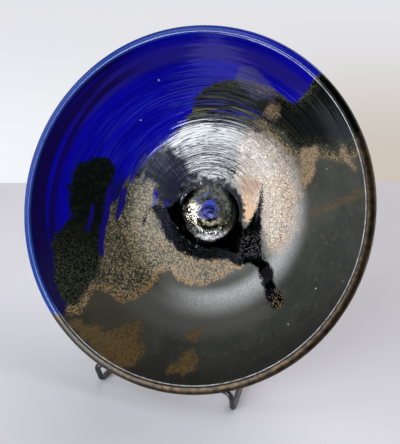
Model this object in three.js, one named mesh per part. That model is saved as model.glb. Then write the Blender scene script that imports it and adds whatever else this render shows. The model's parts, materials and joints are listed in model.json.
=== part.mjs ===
import * as THREE from 'three';

// A wheel-thrown stoneware bird bath bowl standing on a folding wire easel.
// Millimetres, +Z up. The bowl faces -Y and leans back; the easel stands on Z = 0.
// Pieces that touch keep a gap of GAP between them.

// Driving dimensions: bowl
const RIM_RADIUS = 180;
const RIM_CENTRE_HEIGHT = 180.6;
const LEAN = THREE.MathUtils.degToRad(25.6);
const LIP_INNER_RADIUS = 172.4;
const FLOOR_DEPTH = 74;
const FLOOR_RADIUS = 88;
const FLOOR_CURVE = 8;
// Inside this radius the floor falls gently to the well, so that the last water runs there.
const FALL_RADIUS = 80;
const FALL_CURVE = 5;
const FLOOR_FALL = 0.072;
const WALL_POWER = 1.15;
const WELL_RADIUS = 32;
const WELL_BRIM_RADIUS = 36;
const WELL_FLOOR_DEPTH = 81.5;
const RIM_BAND_RADIUS = 175;
const RIM_BAND_HEIGHT = 10.5;
const FLOOR_THICKNESS = 9.7;
const FOOT_RADIUS = 62;
const FOOT_INNER_RADIUS = 53;
const FOOT_EDGE = 0.8;
const FOOT_DEPTH = 91;
const RECESS_DEPTH = 86;
const BOWL_SEGMENTS = 72;
const INNER_WALL_POINTS = 12;
const OUTER_WALL_POINTS = 9;
const WALL_TO_LIP = 0.6;
// Each point's share of the well's radius, and its height above the well's middle.
const WELL_SHAPE = [[0, 0], [0.45, 0.4], [0.75, 1.3], [0.93, 3.3]];
const WELL_EDGE_DROP = 0.6;
// Each point's way in from the widest radius, and its way below the rim plane.
const LIP_SHAPE = [[6.4, 0], [2.4, 0.8], [0.6, 2.4], [0, 4.4], [0.7, 7], [2.9, 9.3]];

// Driving dimensions: easel
const WIRE_RADIUS = 2.75;
const LOOP_WIRE_RADIUS = 1.75;
const WIRE_SIDES = 8;
const BEND_RADIUS = 5.5;
const BEND_STEPS = 5;
const GAP = 0.3;
const FEET_HALF_WIDTH = 70.5;
const FEET_FRONT = -57.5;
const RISER_TOP = new THREE.Vector3(71.2, -67, 27.5);
const HOOK_TIP = new THREE.Vector3(54, -56, 20);
const CORNER_HALF_WIDTH = 63.6;
const UPRIGHT_TOP_HALF_WIDTH = 40;
const UPRIGHT_TOP = 92;
const HINGE_RISE = 70;
const PROP_SPREAD = THREE.MathUtils.degToRad(36);
const LEG_TOP_HALF_WIDTH = 32;
const LEG_FOOT_HALF_WIDTH = 46;
const LEG_OVERRUN = 24;
const PROP_CROSS_BAR_DROP = 100;
const LEG_FOOT_HEIGHT = 1;
const CROSS_BAR_OVERHANG = 4;
const PROP_BAR_OVERHANG = 6;
const FLOOR_TIE_BACK = 6;
const HINGE_LOOP_RADIUS = 5.4;
const HAIR = 0.05;

// Worked-out places. Across the back rest, "rise" runs up along it from the bowl's axis
// and "back" runs behind the rim plane, parallel to the bowl's axis.
const WIRE_PITCH = 2 * WIRE_RADIUS + GAP;
const UPRIGHT_BACK = FOOT_DEPTH + GAP + WIRE_RADIUS;
const FRONT_BAR_BACK = UPRIGHT_BACK - WIRE_PITCH;
const HINGE_BACK = UPRIGHT_BACK + WIRE_PITCH;
const LEDGE_RISE = -(FOOT_RADIUS + GAP + WIRE_RADIUS);
const LEG_OFFSET = WIRE_PITCH + HAIR;
const TOP_BAR_RISE = HINGE_RISE + (HINGE_BACK - FRONT_BAR_BACK) / Math.tan(PROP_SPREAD);

const stoneware = new THREE.MeshStandardMaterial({ color: '#20243a', roughness: 0.25, metalness: 0 });
const blackPaint = new THREE.MeshStandardMaterial({ color: '#121314', roughness: 0.45, metalness: 0.1 });

// A point given by its place across the back rest.
function leaning(x, rise, back) {
  const y = rise * Math.sin(LEAN) + back * Math.cos(LEAN);
  const z = RIM_CENTRE_HEIGHT + rise * Math.cos(LEAN) - back * Math.sin(LEAN);
  return new THREE.Vector3(x, y, z);
}

// The rise at which the back rest's upright reaches a height above the table.
function riseAtHeight(height, back) {
  return (height - RIM_CENTRE_HEIGHT + back * Math.sin(LEAN)) / Math.cos(LEAN);
}

function named(geometry, name, material) {
  const mesh = new THREE.Mesh(geometry, material);
  mesh.name = name;
  return mesh;
}

// Bowl: a closed half section in (radius, height above the rim plane), turned about its axis.
function wallPoints(fromRadius, toRadius, count, heightAt) {
  const points = [];
  for (let i = 0; i <= count; i += 1) {
    const radius = THREE.MathUtils.lerp(fromRadius, toRadius, i / count);
    points.push(new THREE.Vector2(radius, heightAt(radius)));
  }
  return points;
}

function floorFall(radius) {
  return FLOOR_FALL * FALL_CURVE * Math.log(1 + Math.exp((FALL_RADIUS - radius) / FALL_CURVE));
}

// A nearly flat floor that turns up into a nearly straight wall.
function innerWallHeight(radius) {
  const past = FLOOR_CURVE * Math.log(1 + Math.exp((radius - FLOOR_RADIUS) / FLOOR_CURVE));
  const climb = (past / (LIP_INNER_RADIUS - FLOOR_RADIUS)) ** WALL_POWER;
  return -FLOOR_DEPTH * (1 - climb) - floorFall(radius);
}

// Thickness is measured along the bowl's axis.
function outerWallHeight(radius) {
  const rimThickness = innerWallHeight(RIM_BAND_RADIUS) + RIM_BAND_HEIGHT;
  const share = (radius - FOOT_RADIUS) / (RIM_BAND_RADIUS - FOOT_RADIUS);
  const thickness = THREE.MathUtils.lerp(FLOOR_THICKNESS, rimThickness, share);
  return innerWallHeight(radius) + floorFall(radius) - thickness;
}

function bowlProfile() {
  const well = WELL_SHAPE.map(
    ([share, rise]) => new THREE.Vector2(WELL_RADIUS * share, rise - WELL_FLOOR_DEPTH),
  );
  const wellEdge = innerWallHeight(WELL_BRIM_RADIUS) - WELL_EDGE_DROP;
  const lip = LIP_SHAPE.map(([inset, drop]) => new THREE.Vector2(RIM_RADIUS - inset, -drop));
  const foot = [
    new THREE.Vector2(FOOT_RADIUS, -FOOT_DEPTH + FOOT_EDGE),
    new THREE.Vector2(FOOT_RADIUS - FOOT_EDGE, -FOOT_DEPTH),
    new THREE.Vector2(FOOT_INNER_RADIUS + FOOT_EDGE, -FOOT_DEPTH),
    new THREE.Vector2(FOOT_INNER_RADIUS, -RECESS_DEPTH),
    new THREE.Vector2(0, -RECESS_DEPTH),
  ];
  return [
    ...well,
    new THREE.Vector2(WELL_RADIUS, wellEdge),
    ...wallPoints(WELL_BRIM_RADIUS, LIP_INNER_RADIUS - WALL_TO_LIP, INNER_WALL_POINTS, innerWallHeight),
    ...lip,
    ...wallPoints(RIM_BAND_RADIUS, FOOT_RADIUS, OUTER_WALL_POINTS, outerWallHeight),
    ...foot,
  ];
}

function makeBasin() {
  const profile = bowlProfile().reverse();
  const basin = named(new THREE.LatheGeometry(profile, BOWL_SEGMENTS), 'basin', stoneware);
  basin.rotation.x = Math.PI - LEAN;
  basin.position.z = RIM_CENTRE_HEIGHT;
  return basin;
}

// A wire bent at each inner corner, with a station at every place where its direction changes.
class BentWire extends THREE.Curve {
  constructor(corners, bendRadius, faceUp) {
    super();
    this.faceUp = faceUp;
    this.stations = [];
    const last = corners.length - 1;
    const heading = (i) => corners[i + 1].clone().sub(corners[i]).normalize();
    this.addStation(corners[0], heading(0));
    for (let i = 1; i < last; i += 1) this.addBend(corners[i], heading(i - 1), heading(i), bendRadius);
    this.addStation(corners[last], heading(last - 1));
  }

  addStation(point, tangent) {
    this.stations.push({ point: point.clone(), tangent: tangent.clone() });
  }

  addBend(corner, into, out, radius) {
    const turn = into.angleTo(out);
    const side = out.clone().addScaledVector(into, -Math.cos(turn)).normalize();
    const start = corner.clone().addScaledVector(into, -radius * Math.tan(turn / 2));
    const centre = start.clone().addScaledVector(side, radius);
    for (let k = 0; k <= BEND_STEPS; k += 1) {
      const angle = (turn * k) / BEND_STEPS;
      const point = centre.clone();
      point.addScaledVector(side, -radius * Math.cos(angle));
      point.addScaledVector(into, radius * Math.sin(angle));
      const tangent = side.clone().multiplyScalar(Math.sin(angle)).addScaledVector(into, Math.cos(angle));
      this.addStation(point, tangent);
    }
  }

  get steps() {
    return this.stations.length - 1;
  }

  getPointAt(t) {
    return this.stations[Math.round(t * this.steps)].point.clone();
  }

  getPoint(t) {
    return this.getPointAt(t);
  }

  // The section keeps one side facing faceUp at the station most square to it, and from
  // there it is carried along both ways without twist.
  computeFrenetFrames() {
    const tangents = this.stations.map((station) => station.tangent);
    const squareness = tangents.map((tangent) => Math.abs(tangent.dot(this.faceUp)));
    const anchor = squareness.indexOf(Math.min(...squareness));
    const normals = [];
    const along = tangents[anchor];
    normals[anchor] = this.faceUp.clone().addScaledVector(along, -along.dot(this.faceUp)).normalize();
    const carry = (from, to) => {
      const turn = new THREE.Quaternion().setFromUnitVectors(tangents[from], tangents[to]);
      normals[to] = normals[from].clone().applyQuaternion(turn);
    };
    for (let i = anchor; i < this.steps; i += 1) carry(i, i + 1);
    for (let i = anchor; i > 0; i -= 1) carry(i, i - 1);
    const binormals = tangents.map((tangent, i) => tangent.clone().cross(normals[i]));
    return { tangents, normals, binormals };
  }
}

// The section's sides touch the round wire from outside, so a side lies flat on the table.
function wireSection(radius) {
  const section = new THREE.Shape();
  for (let i = 0; i < WIRE_SIDES; i += 1) {
    const angle = ((i + 0.5) * 2 * Math.PI) / WIRE_SIDES;
    const reach = radius / Math.cos(Math.PI / WIRE_SIDES);
    const point = [reach * Math.cos(angle), reach * Math.sin(angle)];
    if (i === 0) section.moveTo(...point);
    else section.lineTo(...point);
  }
  section.closePath();
  return section;
}

function wire(name, corners, faceUp, radius = WIRE_RADIUS, bendRadius = BEND_RADIUS) {
  const route = new BentWire(corners, bendRadius, faceUp.clone().normalize());
  const geometry = new THREE.ExtrudeGeometry(wireSection(radius), {
    steps: route.steps,
    bevelEnabled: false,
    extrudePath: route,
  });
  return named(geometry, name, blackPaint);
}

const UP = new THREE.Vector3(0, 0, 1);
const BACKWARD = leaning(0, 0, 1).sub(leaning(0, 0, 0));

// The upright's distance from the middle at a rise along the back rest.
function uprightHalfWidth(rise) {
  const bottom = riseAtHeight(WIRE_RADIUS, UPRIGHT_BACK);
  const share = (rise - bottom) / (UPRIGHT_TOP - bottom);
  return THREE.MathUtils.lerp(CORNER_HALF_WIDTH, UPRIGHT_TOP_HALF_WIDTH, share);
}

function crossBar(name, rise, back) {
  const half = uprightHalfWidth(rise) + CROSS_BAR_OVERHANG;
  return wire(name, [leaning(-half, rise, back), leaning(half, rise, back)], BACKWARD);
}

// One wire: hook under the rim, riser, front foot, floor rail and back rest upright.
function makeSideWire(name, side) {
  const mirror = (point) => new THREE.Vector3(side * point.x, point.y, point.z);
  const corner = leaning(CORNER_HALF_WIDTH, riseAtHeight(WIRE_RADIUS, UPRIGHT_BACK), UPRIGHT_BACK);
  const corners = [
    HOOK_TIP,
    RISER_TOP,
    new THREE.Vector3(FEET_HALF_WIDTH, FEET_FRONT, WIRE_RADIUS),
    corner,
    leaning(UPRIGHT_TOP_HALF_WIDTH, UPRIGHT_TOP, UPRIGHT_BACK),
  ];
  return wire(name, corners.map(mirror), UP);
}

function makeFloorTieBar() {
  const half = CORNER_HALF_WIDTH + CROSS_BAR_OVERHANG;
  const height = WIRE_RADIUS + WIRE_PITCH;
  const ends = [-half, half].map((x) => new THREE.Vector3(x, FLOOR_TIE_BACK, height));
  return wire('floor_tie_bar', ends, UP);
}

// The open prop: "down" runs along its legs from the hinge bar towards the table, and
// "behind" is square to them, from the hinge bar's axis.
function onProp(x, down, behind) {
  const rise = HINGE_RISE - down * Math.cos(PROP_SPREAD) + behind * Math.sin(PROP_SPREAD);
  const back = HINGE_BACK + down * Math.sin(PROP_SPREAD) + behind * Math.cos(PROP_SPREAD);
  return leaning(x, rise, back);
}

const ACROSS_PROP = onProp(0, 0, 1).sub(onProp(0, 0, 0));
const LEG_LENGTH = (() => {
  const top = onProp(0, 0, LEG_OFFSET);
  const slope = onProp(0, 1, LEG_OFFSET).z - top.z;
  return (LEG_FOOT_HEIGHT - top.z) / slope;
})();

function legHalfWidth(down) {
  return THREE.MathUtils.lerp(LEG_TOP_HALF_WIDTH, LEG_FOOT_HALF_WIDTH, down / LEG_LENGTH);
}

function makePropLeg(name, side) {
  const top = onProp(side * legHalfWidth(-LEG_OVERRUN), -LEG_OVERRUN, LEG_OFFSET);
  const foot = onProp(side * LEG_FOOT_HALF_WIDTH, LEG_LENGTH, LEG_OFFSET);
  return wire(name, [top, foot], ACROSS_PROP);
}

// A U of thinner wire round the front of the hinge bar, its arms beside the leg.
function makeHingeLoop(name, side) {
  const x = side * (LEG_TOP_HALF_WIDTH - WIRE_RADIUS - LOOP_WIRE_RADIUS - 2 * GAP);
  const reach = LEG_OFFSET + WIRE_RADIUS;
  const corners = [
    onProp(x, -HINGE_LOOP_RADIUS, reach),
    onProp(x, -HINGE_LOOP_RADIUS, -HINGE_LOOP_RADIUS),
    onProp(x, HINGE_LOOP_RADIUS, -HINGE_LOOP_RADIUS),
    onProp(x, HINGE_LOOP_RADIUS, reach),
  ];
  return wire(name, corners, new THREE.Vector3(1, 0, 0), LOOP_WIRE_RADIUS, HINGE_LOOP_RADIUS - HAIR);
}

function makePropCrossBar() {
  const half = uprightHalfWidth(HINGE_RISE - PROP_CROSS_BAR_DROP) + PROP_BAR_OVERHANG;
  const behind = LEG_OFFSET - WIRE_PITCH;
  const ends = [-half, half].map((x) => onProp(x, PROP_CROSS_BAR_DROP, behind));
  return wire('prop_cross_bar', ends, ACROSS_PROP);
}

function makePropFloorBar() {
  const foot = onProp(0, LEG_LENGTH, LEG_OFFSET);
  const half = LEG_FOOT_HALF_WIDTH + PROP_BAR_OVERHANG;
  const y = foot.y + WIRE_PITCH;
  const ends = [-half, half].map((x) => new THREE.Vector3(x, y, WIRE_RADIUS));
  return wire('prop_floor_bar', ends, UP);
}

const birdBath = new THREE.Group();
birdBath.add(
  makeBasin(),
  makeSideWire('left_side_wire', -1),
  makeSideWire('right_side_wire', 1),
  crossBar('ledge_bar', LEDGE_RISE, FRONT_BAR_BACK),
  crossBar('hinge_bar', HINGE_RISE, HINGE_BACK),
  crossBar('top_bar', TOP_BAR_RISE, FRONT_BAR_BACK),
  makeFloorTieBar(),
  makePropLeg('prop_left_leg', -1),
  makePropLeg('prop_right_leg', 1),
  makeHingeLoop('left_hinge_loop', -1),
  makeHingeLoop('right_hinge_loop', 1),
  makePropCrossBar(),
  makePropFloorBar(),
);

// The origin is under the middle of the object's box.
birdBath.updateMatrixWorld(true);
const middle = new THREE.Box3().setFromObject(birdBath, true).getCenter(new THREE.Vector3());
birdBath.position.y = -middle.y;

export default birdBath;
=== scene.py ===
"""A thrown and glazed stoneware bird bath bowl on a folding wire easel."""

import json
import math
from functools import partial, reduce

import bmesh
import bpy
import numpy as np
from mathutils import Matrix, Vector


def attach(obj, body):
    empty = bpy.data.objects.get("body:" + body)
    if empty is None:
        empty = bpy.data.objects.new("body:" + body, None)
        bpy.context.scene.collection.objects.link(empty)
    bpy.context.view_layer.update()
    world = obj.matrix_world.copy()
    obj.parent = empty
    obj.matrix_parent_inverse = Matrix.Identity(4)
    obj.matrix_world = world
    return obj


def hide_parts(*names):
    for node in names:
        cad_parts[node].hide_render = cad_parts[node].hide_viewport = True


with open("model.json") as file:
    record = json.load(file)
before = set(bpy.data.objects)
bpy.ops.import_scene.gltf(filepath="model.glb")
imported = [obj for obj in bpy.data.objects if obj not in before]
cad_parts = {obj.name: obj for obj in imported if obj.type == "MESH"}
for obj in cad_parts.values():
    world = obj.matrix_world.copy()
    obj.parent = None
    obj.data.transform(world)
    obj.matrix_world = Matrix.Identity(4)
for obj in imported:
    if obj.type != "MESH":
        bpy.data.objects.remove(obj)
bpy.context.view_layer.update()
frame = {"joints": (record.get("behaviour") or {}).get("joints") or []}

MM = 0.001

# The bowl's own axes: across, up along the rim plane, and back along the bowl's axis.
LEAN = math.radians(25.6)
ACROSS = Vector((1, 0, 0))
RISE = Vector((0, math.sin(LEAN), math.cos(LEAN)))
BACK = Vector((0, math.cos(LEAN), -math.sin(LEAN)))
UP = Vector((0, 0, 1))
HINGE_RISE = 70
HINGE_BACK = 99.85
HINGE = Vector(next(j["pos_m"] for j in frame["joints"] if j["name"] == "prop_fold"))
RIM_CENTRE = HINGE - RISE * HINGE_RISE * MM - BACK * HINGE_BACK * MM
TABLE_TO_ORIGIN = RIM_CENTRE.y / MM


def leaning(x, rise, back):
    """A point given in millimetres by its place across the back rest."""
    return RIM_CENTRE + (ACROSS * x + RISE * rise + BACK * back) * MM


def standing(x, y, z):
    """A point in millimetres from the table under the rim's centre."""
    return Vector((x, y + TABLE_TO_ORIGIN, z)) * MM


# Node graphs


class Graph:
    """Builds a material's or a world's nodes. An input is a socket, a number or a colour."""

    def __init__(self, owner):
        owner.use_nodes = True
        self.owner = owner
        self.tree = owner.node_tree
        self.tree.nodes.clear()

    def node(self, kind, inputs=(), **settings):
        made = self.tree.nodes.new(kind)
        for key, value in settings.items():
            setattr(made, key, value)
        for key, value in dict(inputs).items():
            self.feed(made.inputs[key], value)
        return made

    def feed(self, socket, value):
        if isinstance(value, bpy.types.NodeSocket):
            self.tree.links.new(value, socket)
        elif isinstance(value, tuple) and socket.type == "RGBA":
            socket.default_value = (*value, 1)
        else:
            socket.default_value = value

    def number(self, name):
        return self.node("ShaderNodeAttribute", attribute_name=name).outputs["Fac"]

    def vector(self, name):
        return self.node("ShaderNodeAttribute", attribute_name=name).outputs["Vector"]

    def math(self, operation, a, b=0.0):
        return self.node("ShaderNodeMath", {0: a, 1: b}, operation=operation).outputs[0]

    def plus(self, *terms):
        return reduce(partial(self.math, "ADD"), terms)

    def times(self, *factors):
        return reduce(partial(self.math, "MULTIPLY"), factors)

    def inverse(self, a):
        return self.math("SUBTRACT", 1.0, a)

    def most(self, *terms):
        return reduce(partial(self.math, "MAXIMUM"), terms)

    def step(self, value, low, high):
        """0 below low and 1 above high, with a smooth rise between."""
        inputs = {"Value": value, "From Min": low, "From Max": high}
        made = self.node("ShaderNodeMapRange", inputs, interpolation_type="SMOOTHSTEP")
        return made.outputs["Result"]

    def fall(self, value, low, high):
        """1 below low and 0 above high, with a smooth fall between."""
        return self.inverse(self.step(value, low, high))

    def band(self, value, low, full, still, end):
        """1 between full and still, and 0 below low and above end."""
        return self.times(self.step(value, low, full), self.fall(value, still, end))

    def distance(self, vector, spot):
        """The distance from one spot."""
        made = self.node("ShaderNodeVectorMath", {0: vector, 1: spot}, operation="DISTANCE")
        return made.outputs["Value"]

    def split(self, vector):
        return self.node("ShaderNodeSeparateXYZ", {0: vector}).outputs

    def scaled(self, value, low, high, to_low, to_high):
        inputs = {"Value": value, "From Min": low, "From Max": high}
        inputs.update({"To Min": to_low, "To Max": to_high})
        return self.node("ShaderNodeMapRange", inputs).outputs["Result"]

    def noise(self, vector, size, detail=2.0, roughness=0.5, distortion=0.0, stretch=(1, 1, 1)):
        """Noise from 0 to 1 whose features are about size long."""
        scaling = tuple(s / size for s in stretch)
        placed = self.node(
            "ShaderNodeVectorMath", {0: vector, 1: scaling}, operation="MULTIPLY"
        )
        inputs = {"Vector": placed.outputs[0], "Scale": 1.0, "Detail": detail}
        inputs.update({"Roughness": roughness, "Distortion": distortion})
        return self.node("ShaderNodeTexNoise", inputs).outputs["Fac"]

    def grains(self, vector, size):
        """A random number from 0 to 1 for each grain of about this size."""
        cells = self.node("ShaderNodeTexVoronoi", {"Vector": vector, "Scale": 1 / size})
        return self.split(cells.outputs["Color"])["X"]

    def sway(self, vector, size, amount, detail=2.0):
        """Noise centred on 0, from about -amount to amount."""
        return self.scaled(self.noise(vector, size, detail), 0.3, 0.7, -amount, amount)

    def mix(self, share, a, b):
        made = self.node("ShaderNodeMix", data_type="RGBA")
        self.feed(made.inputs[0], share)
        self.feed(made.inputs[6], a)
        self.feed(made.inputs[7], b)
        return made.outputs[2]

    def layered(self, colour, *layers):
        """A colour with others laid over it in turn, each with its share."""
        for share, glaze in layers:
            colour = self.mix(share, colour, glaze)
        return colour

    def blend(self, share, a, b):
        """The same as mix, for numbers."""
        made = self.node("ShaderNodeMix", data_type="FLOAT")
        self.feed(made.inputs[0], share)
        self.feed(made.inputs[2], a)
        self.feed(made.inputs[3], b)
        return made.outputs[0]

    def bump(self, height, distance):
        made = self.node("ShaderNodeBump", {"Height": height, "Distance": distance})
        return made.outputs["Normal"]

    def finish(self, constants, **inputs):
        shader = self.node("ShaderNodeBsdfPrincipled")
        for key, value in constants.items():
            shader.inputs[key].default_value = value
        for key, value in inputs.items():
            self.feed(shader.inputs[key.replace("_", " ")], value)
        output = self.node("ShaderNodeOutputMaterial")
        self.tree.links.new(shader.outputs[0], output.inputs[0])
        return self.owner


# Glaze outlines, in millimetres on the bowl's inner face seen along its axis: across and up.
# Past the rim they go on over the lip and down the outside, as if the wall were unrolled.


def outside(*places):
    """Points on the outer wall, each given by its angle and its way from the bowl's axis."""
    return [
        (way * math.cos(math.radians(angle)), way * math.sin(math.radians(angle)))
        for angle, way in places
    ]


COBALT = [
    outside(
        (46, 190), (52, 214), (58, 238), (66, 246), (76, 226), (88, 238), (97, 262),
        (108, 240), (120, 228), (131, 248), (141, 272), (151, 250), (163, 232),
        (175, 246), (186, 262), (197, 240), (208, 226), (217, 212), (224, 194),
    )
    + [
        (-124, -126), (-113, -128), (-116, -110), (-112, -85), (-106, -63),
        (-107, -50), (-108.5, -32), (-108.5, -14), (-106, -4), (-102, 0), (-99, 10),
        (-94, 24), (-85, 37), (-77, 49), (-68, 60), (-59, 70), (-49, 79), (-40, 88),
        (-33, 98), (-26, 108), (-20, 120), (-6, 128), (12, 134), (30, 136), (46, 132),
        (60, 129), (71, 122), (80, 116), (86, 113), (93, 118), (100, 124), (106, 132),
        (115, 139),
    ],
]
STREAKS = [
    [(-112, 14), (-109, 8), (-107, -12), (-107, -32), (-105, -48), (-102, -61),
     (-104, -63), (-109, -50), (-111, -34), (-112, -12)],
    [(-100, 10), (-95, 14), (-95, -4), (-97, -17), (-99, -22), (-101, -12)],
    [(-123, -10), (-120.5, -12), (-120, -30), (-122, -40), (-123.5, -26)],
    [(-66, 18), (-61, 15), (-60, 2), (-63, -3), (-67, -2), (-65, 6)],
    [(-50, 8), (-47, 6), (-46, -8), (-49, -16), (-52, -6)],
]
MOSS = [
    [(-108, 38), (-113, 43), (-122, 42), (-131, 37), (-138, 29), (-143, 15), (-144, 0),
     (-142, -12), (-139, -21), (-140, -31), (-145, -42), (-146, -56), (-142, -69),
     (-137, -83), (-131, -96), (-122, -108), (-112, -116), (-107, -112), (-104, -100),
     (-103, -88), (-101, -76), (-103, -66), (-108, -50), (-111.5, -32), (-112.5, -10),
     (-111, 8), (-108, 22)],
    [(-28, 104), (-26, 113), (-18, 123), (-8, 129), (4, 133), (15, 134), (27, 132),
     (38, 127), (54, 123), (70, 121), (80, 117), (86, 114), (93, 118), (100, 124),
     (106, 132), (113, 138), (126, 144), (150, 122), (158, 96), (152, 80), (143, 73), (134, 75),
     (124, 77), (112, 78), (103, 76), (94, 76), (86, 80), (79, 86), (70, 93),
     (58, 98), (46, 102), (30, 103), (8, 103), (-12, 104)],
]
HAZE = [
    [(22, 136), (25, 143), (33, 146), (44, 143), (54, 136), (62, 129), (66, 122),
     (61, 117), (50, 118), (40, 121), (31, 127), (24, 131)],
]
LOWER_EDGE = [
    (-113, -118), (-110, -126), (-103, -124), (-98, -116), (-98, -104), (-96, -98),
    (-88, -98), (-80, -101), (-72, -107), (-64, -106), (-57, -99), (-50, -92),
    (-46, -84), (-43, -74), (-38, -68), (-33, -67), (-26, -73), (-16, -78), (-4, -79),
    (8, -76), (18, -71), (27, -65), (36, -57), (45, -52),
]
COARSE = [
    [(-84, 30), (-93, 22), (-98, 10), (-100, 0), (-105, 1), (-108, -10), (-108, -30),
     (-106, -50), (-103, -62), (-102, -75), (-104, -90), (-107, -104),
     *LOWER_EDGE, (44, -42), (20, -36), (0, -36), (-30, -24), (-48, 0), (-60, 24),
     (-70, 36)],
]
FRINGE = [
    LOWER_EDGE,
    [(38, 99), (50, 96), (60, 92), (70, 85), (77, 78), (86, 72), (96, 68), (106, 72),
     (116, 75), (128, 73), (140, 70), (148, 62)],
]
CREAM = [
    [(22, 50), (20, 66), (24, 82), (36, 92), (50, 90), (64, 82), (76, 70), (87, 56),
     (93, 40), (96, 22), (96, 4), (92, -14), (84, -26), (72, -30), (66, -20), (60, -4),
     (56, 6), (42, 0), (32, 24), (26, 36)],
]
WARM = [
    [(30, 40), (38, 43), (47, 42), (52, 36), (50, 28), (43, 24), (35, 27), (31, 33)],
    [(35, 26), (41, 21), (48, 15), (52, 6), (48, -2), (42, -5), (38, 3), (36, 14)],
]
OCHRE = [
    [(-104, -130), (-92, -130), (-80, -132), (-70, -137), (-63, -133), (-57, -128),
     (-50, -125), (-44, -123), (-40, -129), (-39, -137), (-32, -142), (-28, -149),
     (-28, -157), (-33, -165), (-50, -164), (-70, -154), (-88, -144), (-100, -137)],
    [(8, -126), (16, -119), (22, -121), (20, -128), (12, -132)],
    [(12, -144), (20, -139), (27, -146), (28, -155), (22, -160), (12, -160), (4, -163),
     (3, -157), (10, -152)],
    [(108, 14), (124, 19), (140, 27), (156, 34), (166, 38), (165, 31), (150, 24),
     (134, 17), (116, 10)],
]
TAN = [
    [(95, 75), (104, 75), (113, 76), (113, 60), (109, 48), (103, 37), (98, 42), (95, 56)],
    [(50, 106), (56, 113), (64, 114), (70, 108), (66, 103), (58, 104)],
    [(137, 76), (144, 72), (150, 62), (155, 54), (151, 54), (145, 60), (139, 68)],
]
# Pinholes where the pale clay shows.
CHIPS = [(-82, 88), (125, 55), (132, -59), (158, -47), (-60, 128), (112, -96)]
NAVY = [
    [(-18, 40), (-26, 45), (-31, 51), (-38, 56), (-44, 62), (-53, 68), (-64, 66),
     (-73, 57), (-81, 44), (-84, 32), (-76, 26), (-68, 24), (-64, 8), (-56, -4),
     (-46, -12), (-36, -6), (-34, 10), (-28, 26)],
]
POOL = [
    [(-68, -3), (-61, -9), (-54, -18), (-47, -28), (-38, -38), (-27, -45), (-14, -50),
     (0, -51), (15, -49), (28, -47), (38, -51), (46, -49), (56, -46), (62, -50),
     (68, -58), (74, -67), (80, -76), (86, -84), (93, -86), (99, -81), (100, -75),
     (92, -69), (86, -63), (82, -55), (78, -47), (73, -41), (67, -37), (65, -28),
     (62, -15), (59, -3), (58, 12), (57, 24), (54.5, 38), (53, 24), (51, 11), (47, 0),
     (42, -10), (38, -3), (37, 10), (30, 24), (18, 34), (4, 38), (-10, 37), (-24, 30),
     (-34, 18), (-40, 6), (-52, 2), (-60, 2)],
    [(-68, -4), (-70, -10), (-73, -22), (-71, -22), (-67, -10), (-65, -5)],
]

ZONES = {
    "cobalt": COBALT, "streaks": STREAKS, "moss": MOSS, "haze": HAZE, "coarse": COARSE,
    "cream": CREAM, "warm": WARM, "ochre": OCHRE, "navy": NAVY, "pool": POOL, "tan": TAN,
}


def smoothed(outline, closed=True, steps=4):
    """A Catmull-Rom curve through an outline's points."""
    points = [np.array(point, float) for point in outline]
    if closed:
        padded = [points[-1], *points, points[0], points[1]]
    else:
        padded = [points[0], *points, points[-1]]
    curve = []
    for a, b, c, d in zip(padded, padded[1:], padded[2:], padded[3:]):
        for k in range(steps):
            t = k / steps
            curve.append(
                0.5 * (2 * b + (c - a) * t + (2 * a - 5 * b + 4 * c - d) * t**2
                       + (3 * b - a - 3 * c + d) * t**3)
            )
    curve.append(curve[0] if closed else points[-1])
    return np.array(curve)


def distance_to(curve, x, y):
    """Each point's distance to a curve, and whether an odd number of its edges is to the right."""
    nearest = np.full(x.shape, np.inf)
    inside = np.zeros(x.shape, bool)
    for (ax, ay), (bx, by) in zip(curve, curve[1:]):
        ex, ey = bx - ax, by - ay
        length = max(ex * ex + ey * ey, 1e-12)
        share = np.clip(((x - ax) * ex + (y - ay) * ey) / length, 0, 1)
        gap = (x - ax - share * ex) ** 2 + (y - ay - share * ey) ** 2
        nearest = np.minimum(nearest, gap)
        if ay != by:
            crossing = (ay > y) != (by > y)
            inside ^= crossing & (x < ax + ex * (y - ay) / ey)
    return np.sqrt(nearest), inside


def zone_depth(outlines, x, y):
    """How deep each point is inside a zone, negative outside it."""
    depth = np.full(x.shape, -np.inf)
    for outline in outlines:
        nearest, inside = distance_to(smoothed(outline), x, y)
        depth = np.maximum(depth, np.where(inside, nearest, -nearest))
    return depth


def line_distance(lines, x, y):
    """Each point's distance to the nearest of some open lines."""
    gaps = [distance_to(smoothed(line, closed=False), x, y)[0] for line in lines]
    return np.minimum.reduce(gaps)


# Bowl

LIP_INNER_RADIUS = 172.4
FLOOR_DEPTH = 74
FLOOR_RADIUS = 88
FLOOR_CURVE = 8
WALL_POWER = 1.15
RIM_BAND_RADIUS = 175
RIM_BAND_HEIGHT = 10.5
FLOOR_THICKNESS = 9.7
FOOT_RADIUS = 62
FLOOR_FALL = 0.072
FALL_RADIUS = 80
FALL_CURVE = 5
WELL = [(0, -81.2), (5, -81.5), (14, -81.3), (22, -80.7), (27, -79.6), (31, -78), (35, -77.25)]
LIP_START = (171.6, -0.9)
LIP_END = (174.6, -10.9)
LIP = [
    LIP_START, (172.5, -0.15), (174, 0), (176, -0.2), (177.8, -0.9), (179.3, -2.3),
    (180, -4.4), (179.4, -7), (177.4, -9.3),
]
FOOT = [
    (62.4, -84), (62, -86), (62, -89.8), (61.2, -90.8), (60, -91), (55, -91), (53.6, -90.7),
    (53, -89.6), (52.6, -87), (51, -85.7), (46, -85.5), (30, -85.5), (0, -85.5),
]
SEGMENTS = 300
INNER_SPACING, LIP_SPACING, OUTER_SPACING = 1.05, 0.75, 2.6
NARROW_RIDGES, WIDE_RIDGES, WELL_SPIRAL, TRIMMING = 5.4, 9.7, 9, 7.3


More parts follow.
